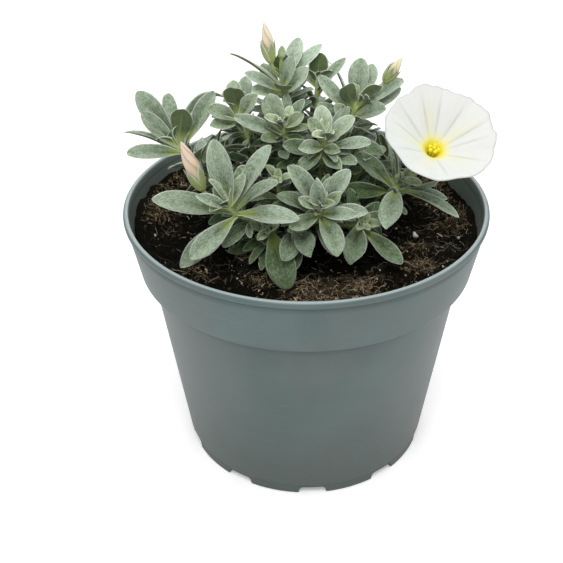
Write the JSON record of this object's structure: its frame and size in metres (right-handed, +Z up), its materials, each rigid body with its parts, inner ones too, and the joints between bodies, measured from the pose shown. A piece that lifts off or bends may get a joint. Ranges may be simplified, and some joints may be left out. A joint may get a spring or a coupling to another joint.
{
  "type": "potted silverbush",
  "caption": "Round tapering nursery pot with a rolled lip and notched foot, filled with soil, holding a bushy plant with narrow leaves, a funnel-shaped bloom and rolled buds",
  "frame": {"origin": "on the ground at the centre of the pot's foot", "axes": "Z up along the pot's axis; -Y towards the front view, X to its right"},
  "size_m": [0.17, 0.17, 0.2159],
  "materials": {
    "pot_plastic": "grey-blue, satin",
    "soil": "dark peat with coir fibres and perlite",
    "leaf": "silver-green, covered in fine pale hairs",
    "petal_white": "white, yellow in the throat, soft",
    "stamen_yellow": "yellow, powdery",
    "bud_peach": "peach-pink, soft",
    "bud_cream": "cream, soft"
  },
  "bodies": {
    "root": {"pot": "pot_plastic", "soil": "soil", "shoot_front_left": "leaf", "shoot_front": "leaf", "shoot_low_front_left": "leaf", "shoot_low_front": "leaf", "shoot_low_right": "leaf", "shoot_bloom": "leaf", "shoot_middle_right": "leaf", "shoot_middle_left": "leaf", "shoot_upper_right": "leaf", "shoot_top": "leaf", "shoot_top_right": "leaf", "shoot_left": "leaf", "shoot_left_back": "leaf", "shoot_upper_left": "leaf", "shoot_inner_left": "leaf", "shoot_inner_right": "leaf", "shoot_inner_front": "leaf", "shoot_middle_back": "leaf", "shoot_back_left": "leaf", "shoot_back": "leaf", "shoot_back_right": "leaf", "shoot_right_back": "leaf", "shoot_low_back": "leaf", "shoot_low_back_left": "leaf", "shoot_low_back_right": "leaf", "bloom": "petal_white", "stamens": "stamen_yellow", "bud_front": "bud_peach", "bud_top": "bud_cream", "bud_right": "bud_cream"}
  },
  "joints": []
}
